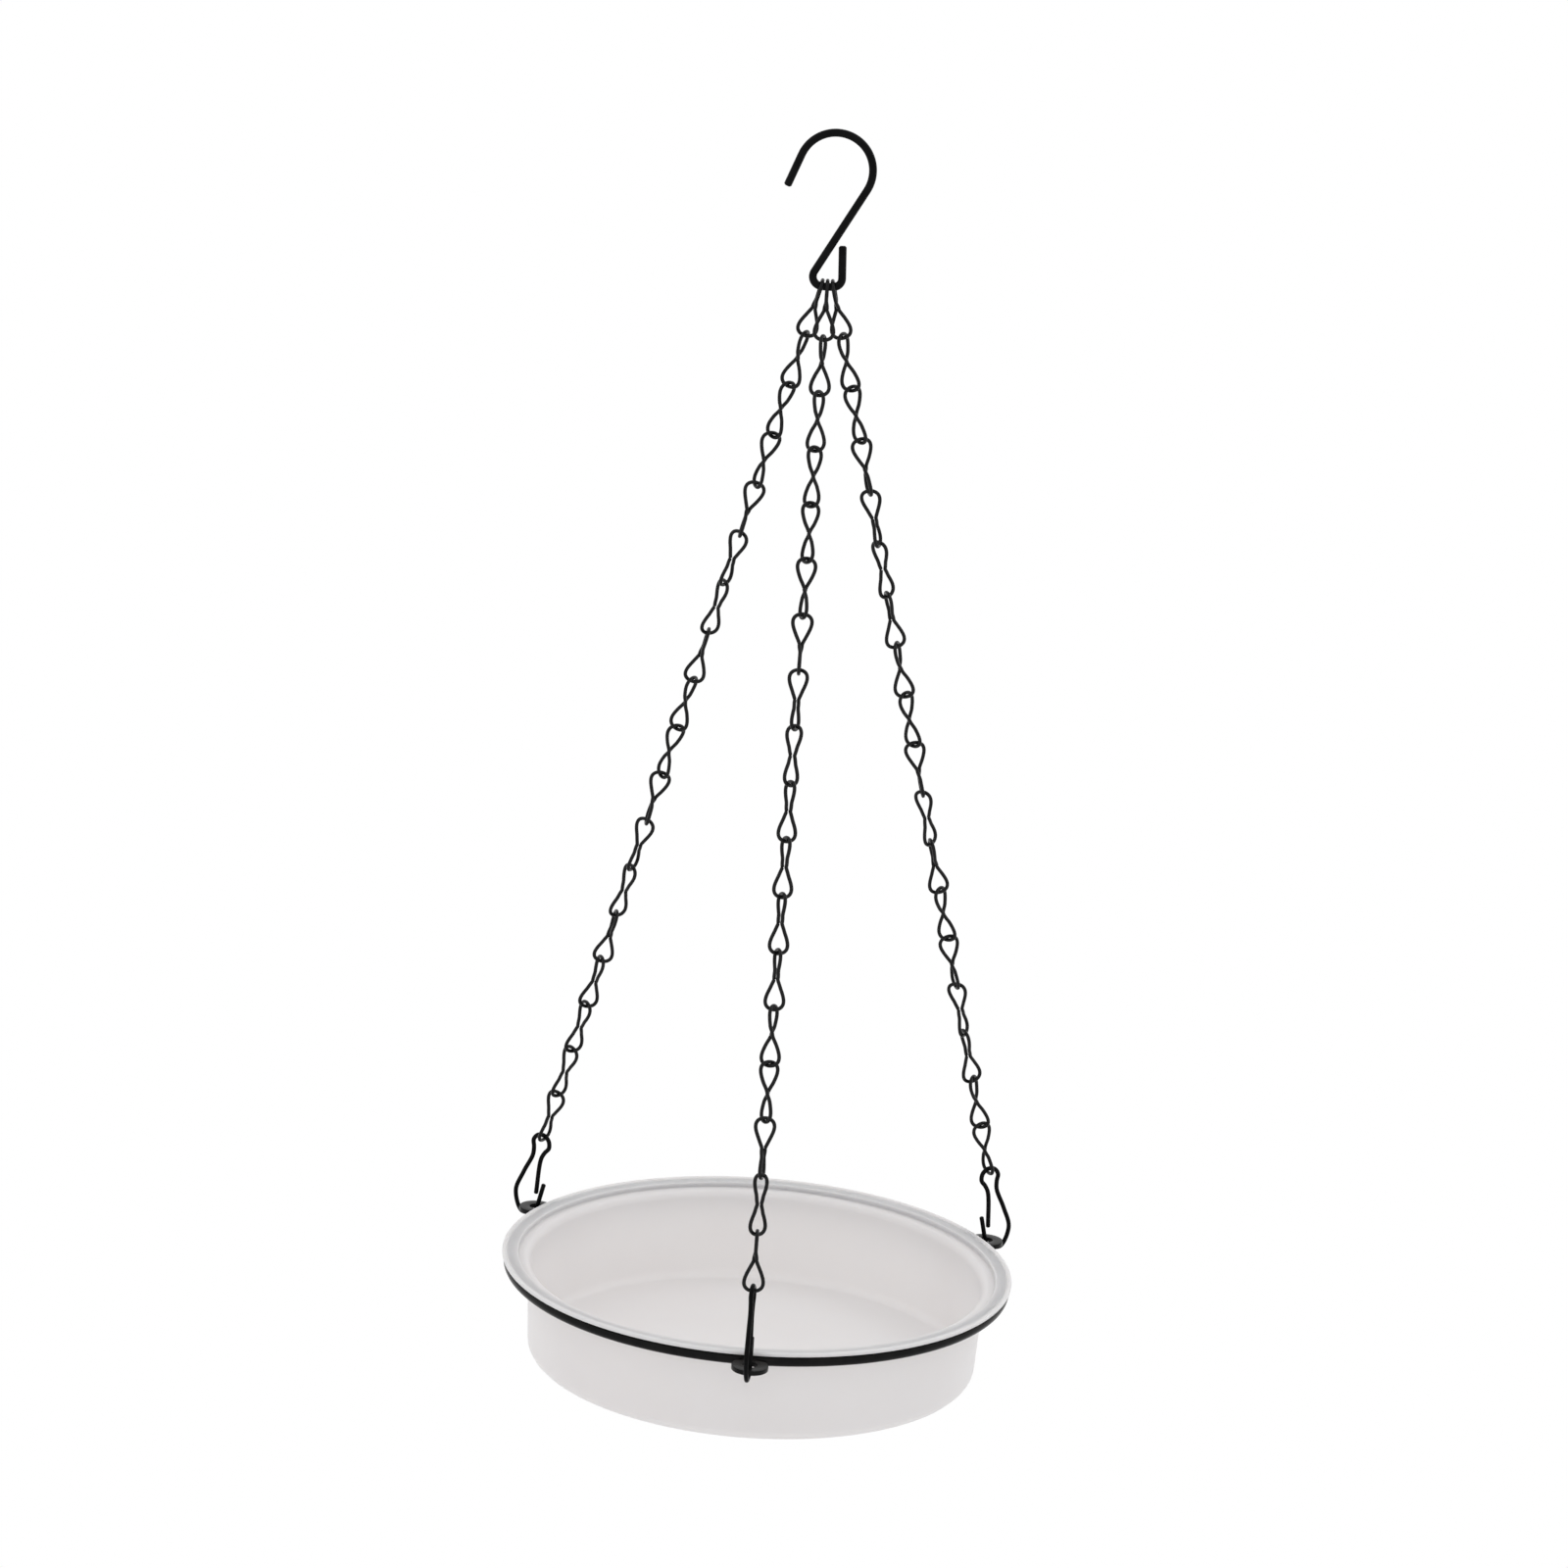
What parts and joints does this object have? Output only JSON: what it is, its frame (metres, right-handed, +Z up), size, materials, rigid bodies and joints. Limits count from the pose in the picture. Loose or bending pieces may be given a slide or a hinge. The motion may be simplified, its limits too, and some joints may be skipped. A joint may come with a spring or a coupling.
{
  "type": "hanging bird bath",
  "caption": "Round milky plastic dish with a stepped rim, held in a black wire ring that hangs by clips and chains from an S-hook.",
  "frame": {"origin": "the seat of the S-hook, on the inside of the top of its wide bend", "axes": "+Z up, -Y towards the front chain and the viewer of the picture, X across the picture in the plane of the hook"},
  "size_m": [0.2218, 0.2378, 0.5308],
  "materials": {
    "black_wire": "satin black paint",
    "milky_plastic": "satin, slightly see-through"
  },
  "bodies": {
    "hook": {"s_hook": "black_wire"},
    "top_links": {"left_link_01": "black_wire", "front_link_01": "black_wire", "right_link_01": "black_wire"},
    "ring": {"support_ring": "black_wire"},
    "dish": {"dish": "milky_plastic"},
    "left_link_02": {"left_link_02": "black_wire"},
    "left_link_03": {"left_link_03": "black_wire"},
    "left_link_04": {"left_link_04": "black_wire"},
    "left_link_05": {"left_link_05": "black_wire"},
    "left_link_06": {"left_link_06": "black_wire"},
    "left_link_07": {"left_link_07": "black_wire"},
    "left_link_08": {"left_link_08": "black_wire"},
    "left_link_09": {"left_link_09": "black_wire"},
    "left_link_10": {"left_link_10": "black_wire"},
    "left_link_11": {"left_link_11": "black_wire"},
    "left_link_12": {"left_link_12": "black_wire"},
    "left_link_13": {"left_link_13": "black_wire"},
    "left_link_14": {"left_link_14": "black_wire"},
    "left_link_15": {"left_link_15": "black_wire"},
    "left_link_16": {"left_link_16": "black_wire"},
    "left_link_17": {"left_link_17": "black_wire"},
    "left_link_18": {"left_link_18": "black_wire"},
    "left_clip": {"left_clip": "black_wire"},
    "front_link_02": {"front_link_02": "black_wire"},
    "front_link_03": {"front_link_03": "black_wire"},
    "front_link_04": {"front_link_04": "black_wire"},
    "front_link_05": {"front_link_05": "black_wire"},
    "front_link_06": {"front_link_06": "black_wire"},
    "front_link_07": {"front_link_07": "black_wire"},
    "front_link_08": {"front_link_08": "black_wire"},
    "front_link_09": {"front_link_09": "black_wire"},
    "front_link_10": {"front_link_10": "black_wire"},
    "front_link_11": {"front_link_11": "black_wire"},
    "front_link_12": {"front_link_12": "black_wire"},
    "front_link_13": {"front_link_13": "black_wire"},
    "front_link_14": {"front_link_14": "black_wire"},
    "front_link_15": {"front_link_15": "black_wire"},
    "front_link_16": {"front_link_16": "black_wire"},
    "front_link_17": {"front_link_17": "black_wire"},
    "front_link_18": {"front_link_18": "black_wire"},
    "front_clip": {"front_clip": "black_wire"},
    "right_link_02": {"right_link_02": "black_wire"},
    "right_link_03": {"right_link_03": "black_wire"},
    "right_link_04": {"right_link_04": "black_wire"},
    "right_link_05": {"right_link_05": "black_wire"},
    "right_link_06": {"right_link_06": "black_wire"},
    "right_link_07": {"right_link_07": "black_wire"},
    "right_link_08": {"right_link_08": "black_wire"},
    "right_link_09": {"right_link_09": "black_wire"},
    "right_link_10": {"right_link_10": "black_wire"},
    "right_link_11": {"right_link_11": "black_wire"},
    "right_link_12": {"right_link_12": "black_wire"},
    "right_link_13": {"right_link_13": "black_wire"},
    "right_link_14": {"right_link_14": "black_wire"},
    "right_link_15": {"right_link_15": "black_wire"},
    "right_link_16": {"right_link_16": "black_wire"},
    "right_link_17": {"right_link_17": "black_wire"},
    "right_link_18": {"right_link_18": "black_wire"},
    "right_clip": {"right_clip": "black_wire"}
  },
  "joints": [
    {"name": "bath_swing", "type": "hinge", "parent": "hook", "child": "top_links", "pos_m": [0, 0, -0.06112], "axis": [1, 0, 0], "range_deg": [-35, 35]},
    {"name": "bath_sway", "type": "hinge", "parent": "top_links", "child": "ring", "pos_m": [0, 0, -0.04828], "axis": [0, 1, 0], "range_deg": [-10, 10]},
    {"name": "dish_lift", "type": "slide", "parent": "ring", "child": "dish", "axis": [0, 0, 1], "range_m": [0, 0.018]},
    {"name": "left_chain_sway", "type": "hinge", "parent": "top_links", "child": "left_link_02", "pos_m": [-0.00753, 0.00292, -0.0813], "axis": [0, 1, 0], "range_deg": [-10.85, 10.85]},
    {"name": "left_chain_twist", "type": "hinge", "parent": "left_link_02", "child": "left_link_03", "pos_m": [-0.01558, 0.00769, -0.11422], "axis": [0.2351, -0.1394, 0.9619], "range_deg": [-8, 8]},
    {"name": "left_link_04_twist", "type": "hinge", "parent": "left_link_03", "child": "left_link_04", "pos_m": [-0.02094, 0.01088, -0.13616], "axis": [0.2351, -0.1394, 0.9619], "range_deg": [-8, 8]},
    {"name": "left_link_05_twist", "type": "hinge", "parent": "left_link_04", "child": "left_link_05", "pos_m": [-0.0263, 0.01406, -0.15811], "axis": [0.2351, -0.1394, 0.9619], "range_deg": [-8, 8]},
    {"name": "left_link_06_twist", "type": "hinge", "parent": "left_link_05", "child": "left_link_06", "pos_m": [-0.03167, 0.01724, -0.18006], "axis": [0.2351, -0.1394, 0.9619], "range_deg": [-8, 8]},
    {"name": "left_link_07_twist", "type": "hinge", "parent": "left_link_06", "child": "left_link_07", "pos_m": [-0.03703, 0.02042, -0.202], "axis": [0.2351, -0.1394, 0.9619], "range_deg": [-8, 8]},
    {"name": "left_link_08_twist", "type": "hinge", "parent": "left_link_07", "child": "left_link_08", "pos_m": [-0.04239, 0.0236, -0.22395], "axis": [0.2351, -0.1394, 0.9619], "range_deg": [-8, 8]},
    {"name": "left_link_09_twist", "type": "hinge", "parent": "left_link_08", "child": "left_link_09", "pos_m": [-0.04776, 0.02678, -0.2459], "axis": [0.2351, -0.1394, 0.9619], "range_deg": [-8, 8]},
    {"name": "left_link_10_twist", "type": "hinge", "parent": "left_link_09", "child": "left_link_10", "pos_m": [-0.05312, 0.02996, -0.26785], "axis": [0.2351, -0.1394, 0.9619], "range_deg": [-8, 8]},
    {"name": "left_link_11_twist", "type": "hinge", "parent": "left_link_10", "child": "left_link_11", "pos_m": [-0.05849, 0.03314, -0.28979], "axis": [0.2351, -0.1394, 0.9619], "range_deg": [-7.12, 7.12]},
    {"name": "left_link_12_twist", "type": "hinge", "parent": "left_link_11", "child": "left_link_12", "pos_m": [-0.06385, 0.03632, -0.31174], "axis": [0.2351, -0.1394, 0.9619], "range_deg": [-7.12, 7.12]},
    {"name": "left_link_13_twist", "type": "hinge", "parent": "left_link_12", "child": "left_link_13", "pos_m": [-0.06921, 0.0395, -0.33369], "axis": [0.2351, -0.1394, 0.9619], "range_deg": [-7.12, 7.12]},
    {"name": "left_link_14_twist", "type": "hinge", "parent": "left_link_13", "child": "left_link_14", "pos_m": [-0.07458, 0.04268, -0.35563], "axis": [0.2351, -0.1394, 0.9619], "range_deg": [-7.12, 7.12]},
    {"name": "left_link_15_twist", "type": "hinge", "parent": "left_link_14", "child": "left_link_15", "pos_m": [-0.07994, 0.04586, -0.37758], "axis": [0.2351, -0.1394, 0.9619], "range_deg": [-7.12, 7.12]},
    {"name": "left_link_16_twist", "type": "hinge", "parent": "left_link_15", "child": "left_link_16", "pos_m": [-0.0853, 0.04904, -0.39953], "axis": [0.2351, -0.1394, 0.9619], "range_deg": [-7.12, 7.12]},
    {"name": "left_link_17_twist", "type": "hinge", "parent": "left_link_16", "child": "left_link_17", "pos_m": [-0.09067, 0.05223, -0.42147], "axis": [0.2351, -0.1394, 0.9619], "range_deg": [-7.12, 7.12]},
    {"name": "left_link_18_twist", "type": "hinge", "parent": "left_link_17", "child": "left_link_18", "pos_m": [-0.09603, 0.05541, -0.44342], "axis": [0.2351, -0.1394, 0.9619], "range_deg": [-7.12, 7.12]},
    {"name": "left_clip_twist", "type": "hinge", "parent": "left_link_18", "child": "left_clip", "pos_m": [-0.09603, 0.05541, -0.44342], "axis": [0.2351, -0.1394, 0.9619], "range_deg": [-7.12, 7.12]},
    {"name": "front_chain_sway", "type": "hinge", "parent": "top_links", "child": "front_link_02", "pos_m": [0, -0.00585, -0.08132], "axis": [0, 1, 0], "range_deg": [-10.85, 10.85]},
    {"name": "front_chain_twist", "type": "hinge", "parent": "front_link_02", "child": "front_link_03", "pos_m": [0, -0.0154, -0.11424], "axis": [0, 0.2784, 0.9605], "range_deg": [-8, 8]},
    {"name": "front_link_04_twist", "type": "hinge", "parent": "front_link_03", "child": "front_link_04", "pos_m": [0, -0.02176, -0.13618], "axis": [0, 0.2784, 0.9605], "range_deg": [-8, 8]},
    {"name": "front_link_05_twist", "type": "hinge", "parent": "front_link_04", "child": "front_link_05", "pos_m": [0, -0.02812, -0.15813], "axis": [0, 0.2784, 0.9605], "range_deg": [-8, 8]},
    {"name": "front_link_06_twist", "type": "hinge", "parent": "front_link_05", "child": "front_link_06", "pos_m": [0, -0.03448, -0.18008], "axis": [0, 0.2784, 0.9605], "range_deg": [-8, 8]},
    {"name": "front_link_07_twist", "type": "hinge", "parent": "front_link_06", "child": "front_link_07", "pos_m": [0, -0.04084, -0.20202], "axis": [0, 0.2784, 0.9605], "range_deg": [-8, 8]},
    {"name": "front_link_08_twist", "type": "hinge", "parent": "front_link_07", "child": "front_link_08", "pos_m": [0, -0.0472, -0.22397], "axis": [0, 0.2784, 0.9605], "range_deg": [-8, 8]},
    {"name": "front_link_09_twist", "type": "hinge", "parent": "front_link_08", "child": "front_link_09", "pos_m": [0, -0.05356, -0.24592], "axis": [0, 0.2784, 0.9605], "range_deg": [-8, 8]},
    {"name": "front_link_10_twist", "type": "hinge", "parent": "front_link_09", "child": "front_link_10", "pos_m": [0, -0.05992, -0.26786], "axis": [0, 0.2784, 0.9605], "range_deg": [-8, 8]},
    {"name": "front_link_11_twist", "type": "hinge", "parent": "front_link_10", "child": "front_link_11", "pos_m": [0, -0.06629, -0.28981], "axis": [0, 0.2784, 0.9605], "range_deg": [-7.12, 7.12]},
    {"name": "front_link_12_twist", "type": "hinge", "parent": "front_link_11", "child": "front_link_12", "pos_m": [0, -0.07265, -0.31176], "axis": [0, 0.2784, 0.9605], "range_deg": [-7.12, 7.12]},
    {"name": "front_link_13_twist", "type": "hinge", "parent": "front_link_12", "child": "front_link_13", "pos_m": [0, -0.07901, -0.3337], "axis": [0, 0.2784, 0.9605], "range_deg": [-7.12, 7.12]},
    {"name": "front_link_14_twist", "type": "hinge", "parent": "front_link_13", "child": "front_link_14", "pos_m": [0, -0.08537, -0.35565], "axis": [0, 0.2784, 0.9605], "range_deg": [-7.12, 7.12]},
    {"name": "front_link_15_twist", "type": "hinge", "parent": "front_link_14", "child": "front_link_15", "pos_m": [0, -0.09173, -0.3776], "axis": [0, 0.2784, 0.9605], "range_deg": [-7.12, 7.12]},
    {"name": "front_link_16_twist", "type": "hinge", "parent": "front_link_15", "child": "front_link_16", "pos_m": [0, -0.09809, -0.39954], "axis": [0, 0.2784, 0.9605], "range_deg": [-7.12, 7.12]},
    {"name": "front_link_17_twist", "type": "hinge", "parent": "front_link_16", "child": "front_link_17", "pos_m": [0, -0.10445, -0.42149], "axis": [0, 0.2784, 0.9605], "range_deg": [-7.12, 7.12]},
    {"name": "front_link_18_twist", "type": "hinge", "parent": "front_link_17", "child": "front_link_18", "pos_m": [0, -0.11081, -0.44344], "axis": [0, 0.2784, 0.9605], "range_deg": [-7.12, 7.12]},
    {"name": "front_clip_twist", "type": "hinge", "parent": "front_link_18", "child": "front_clip", "pos_m": [0, -0.11081, -0.44344], "axis": [0, 0.2784, 0.9605], "range_deg": [-7.12, 7.12]},
    {"name": "right_chain_sway", "type": "hinge", "parent": "top_links", "child": "right_link_02", "pos_m": [0.00753, 0.00292, -0.0813], "axis": [0, 1, 0], "range_deg": [-10.85, 10.85]},
    {"name": "right_chain_twist", "type": "hinge", "parent": "right_link_02", "child": "right_link_03", "pos_m": [0.01558, 0.00769, -0.11422], "axis": [-0.2351, -0.1394, 0.9619], "range_deg": [-8, 8]},
    {"name": "right_link_04_twist", "type": "hinge", "parent": "right_link_03", "child": "right_link_04", "pos_m": [0.02094, 0.01088, -0.13616], "axis": [-0.2351, -0.1394, 0.9619], "range_deg": [-8, 8]},
    {"name": "right_link_05_twist", "type": "hinge", "parent": "right_link_04", "child": "right_link_05", "pos_m": [0.0263, 0.01406, -0.15811], "axis": [-0.2351, -0.1394, 0.9619], "range_deg": [-8, 8]},
    {"name": "right_link_06_twist", "type": "hinge", "parent": "right_link_05", "child": "right_link_06", "pos_m": [0.03167, 0.01724, -0.18006], "axis": [-0.2351, -0.1394, 0.9619], "range_deg": [-8, 8]},
    {"name": "right_link_07_twist", "type": "hinge", "parent": "right_link_06", "child": "right_link_07", "pos_m": [0.03703, 0.02042, -0.202], "axis": [-0.2351, -0.1394, 0.9619], "range_deg": [-8, 8]},
    {"name": "right_link_08_twist", "type": "hinge", "parent": "right_link_07", "child": "right_link_08", "pos_m": [0.04239, 0.0236, -0.22395], "axis": [-0.2351, -0.1394, 0.9619], "range_deg": [-8, 8]},
    {"name": "right_link_09_twist", "type": "hinge", "parent": "right_link_08", "child": "right_link_09", "pos_m": [0.04776, 0.02678, -0.2459], "axis": [-0.2351, -0.1394, 0.9619], "range_deg": [-8, 8]},
    {"name": "right_link_10_twist", "type": "hinge", "parent": "right_link_09", "child": "right_link_10", "pos_m": [0.05312, 0.02996, -0.26785], "axis": [-0.2351, -0.1394, 0.9619], "range_deg": [-8, 8]},
    {"name": "right_link_11_twist", "type": "hinge", "parent": "right_link_10", "child": "right_link_11", "pos_m": [0.05849, 0.03314, -0.28979], "axis": [-0.2351, -0.1394, 0.9619], "range_deg": [-7.12, 7.12]},
    {"name": "right_link_12_twist", "type": "hinge", "parent": "right_link_11", "child": "right_link_12", "pos_m": [0.06385, 0.03632, -0.31174], "axis": [-0.2351, -0.1394, 0.9619], "range_deg": [-7.12, 7.12]},
    {"name": "right_link_13_twist", "type": "hinge", "parent": "right_link_12", "child": "right_link_13", "pos_m": [0.06921, 0.0395, -0.33369], "axis": [-0.2351, -0.1394, 0.9619], "range_deg": [-7.12, 7.12]},
    {"name": "right_link_14_twist", "type": "hinge", "parent": "right_link_13", "child": "right_link_14", "pos_m": [0.07458, 0.04268, -0.35563], "axis": [-0.2351, -0.1394, 0.9619], "range_deg": [-7.12, 7.12]},
    {"name": "right_link_15_twist", "type": "hinge", "parent": "right_link_14", "child": "right_link_15", "pos_m": [0.07994, 0.04586, -0.37758], "axis": [-0.2351, -0.1394, 0.9619], "range_deg": [-7.12, 7.12]},
    {"name": "right_link_16_twist", "type": "hinge", "parent": "right_link_15", "child": "right_link_16", "pos_m": [0.0853, 0.04904, -0.39953], "axis": [-0.2351, -0.1394, 0.9619], "range_deg": [-7.12, 7.12]},
    {"name": "right_link_17_twist", "type": "hinge", "parent": "right_link_16", "child": "right_link_17", "pos_m": [0.09067, 0.05223, -0.42147], "axis": [-0.2351, -0.1394, 0.9619], "range_deg": [-7.12, 7.12]},
    {"name": "right_link_18_twist", "type": "hinge", "parent": "right_link_17", "child": "right_link_18", "pos_m": [0.09603, 0.05541, -0.44342], "axis": [-0.2351, -0.1394, 0.9619], "range_deg": [-7.12, 7.12]},
    {"name": "right_clip_twist", "type": "hinge", "parent": "right_link_18", "child": "right_clip", "pos_m": [0.09603, 0.05541, -0.44342], "axis": [-0.2351, -0.1394, 0.9619], "range_deg": [-7.12, 7.12]}
  ],
  "couplings": [
    {"joint": "left_chain_sway", "follows": "bath_sway", "ratio": 1.083},
    {"joint": "left_link_04_twist", "follows": "left_chain_twist", "ratio": 1},
    {"joint": "left_link_05_twist", "follows": "left_chain_twist", "ratio": 1},
    {"joint": "left_link_06_twist", "follows": "left_chain_twist", "ratio": 1},
    {"joint": "left_link_07_twist", "follows": "left_chain_twist", "ratio": 1},
    {"joint": "left_link_08_twist", "follows": "left_chain_twist", "ratio": 1},
    {"joint": "left_link_09_twist", "follows": "left_chain_twist", "ratio": 1},
    {"joint": "left_link_10_twist", "follows": "left_chain_twist", "ratio": 1},
    {"joint": "left_link_11_twist", "follows": "left_chain_twist", "ratio": -0.88889},
    {"joint": "left_link_12_twist", "follows": "left_chain_twist", "ratio": -0.88889},
    {"joint": "left_link_13_twist", "follows": "left_chain_twist", "ratio": -0.88889},
    {"joint": "left_link_14_twist", "follows": "left_chain_twist", "ratio": -0.88889},
    {"joint": "left_link_15_twist", "follows": "left_chain_twist", "ratio": -0.88889},
    {"joint": "left_link_16_twist", "follows": "left_chain_twist", "ratio": -0.88889},
    {"joint": "left_link_17_twist", "follows": "left_chain_twist", "ratio": -0.88889},
    {"joint": "left_link_18_twist", "follows": "left_chain_twist", "ratio": -0.88889},
    {"joint": "left_clip_twist", "follows": "left_chain_twist", "ratio": -0.88889},
    {"joint": "front_chain_sway", "follows": "bath_sway", "ratio": 1.083},
    {"joint": "front_link_04_twist", "follows": "front_chain_twist", "ratio": 1},
    {"joint": "front_link_05_twist", "follows": "front_chain_twist", "ratio": 1},
    {"joint": "front_link_06_twist", "follows": "front_chain_twist", "ratio": 1},
    {"joint": "front_link_07_twist", "follows": "front_chain_twist", "ratio": 1},
    {"joint": "front_link_08_twist", "follows": "front_chain_twist", "ratio": 1},
    {"joint": "front_link_09_twist", "follows": "front_chain_twist", "ratio": 1},
    {"joint": "front_link_10_twist", "follows": "front_chain_twist", "ratio": 1},
    {"joint": "front_link_11_twist", "follows": "front_chain_twist", "ratio": -0.88889},
    {"joint": "front_link_12_twist", "follows": "front_chain_twist", "ratio": -0.88889},
    {"joint": "front_link_13_twist", "follows": "front_chain_twist", "ratio": -0.88889},
    {"joint": "front_link_14_twist", "follows": "front_chain_twist", "ratio": -0.88889},
    {"joint": "front_link_15_twist", "follows": "front_chain_twist", "ratio": -0.88889},
    {"joint": "front_link_16_twist", "follows": "front_chain_twist", "ratio": -0.88889},
    {"joint": "front_link_17_twist", "follows": "front_chain_twist", "ratio": -0.88889},
    {"joint": "front_link_18_twist", "follows": "front_chain_twist", "ratio": -0.88889},
    {"joint": "front_clip_twist", "follows": "front_chain_twist", "ratio": -0.88889},
    {"joint": "right_chain_sway", "follows": "bath_sway", "ratio": 1.083},
    {"joint": "right_link_04_twist", "follows": "right_chain_twist", "ratio": 1},
    {"joint": "right_link_05_twist", "follows": "right_chain_twist", "ratio": 1},
    {"joint": "right_link_06_twist", "follows": "right_chain_twist", "ratio": 1},
    {"joint": "right_link_07_twist", "follows": "right_chain_twist", "ratio": 1},
    {"joint": "right_link_08_twist", "follows": "right_chain_twist", "ratio": 1},
    {"joint": "right_link_09_twist", "follows": "right_chain_twist", "ratio": 1},
    {"joint": "right_link_10_twist", "follows": "right_chain_twist", "ratio": 1},
    {"joint": "right_link_11_twist", "follows": "right_chain_twist", "ratio": -0.88889},
    {"joint": "right_link_12_twist", "follows": "right_chain_twist", "ratio": -0.88889},
    {"joint": "right_link_13_twist", "follows": "right_chain_twist", "ratio": -0.88889},
    {"joint": "right_link_14_twist", "follows": "right_chain_twist", "ratio": -0.88889},
    {"joint": "right_link_15_twist", "follows": "right_chain_twist", "ratio": -0.88889},
    {"joint": "right_link_16_twist", "follows": "right_chain_twist", "ratio": -0.88889},
    {"joint": "right_link_17_twist", "follows": "right_chain_twist", "ratio": -0.88889},
    {"joint": "right_link_18_twist", "follows": "right_chain_twist", "ratio": -0.88889},
    {"joint": "right_clip_twist", "follows": "right_chain_twist", "ratio": -0.88889}
  ]
}
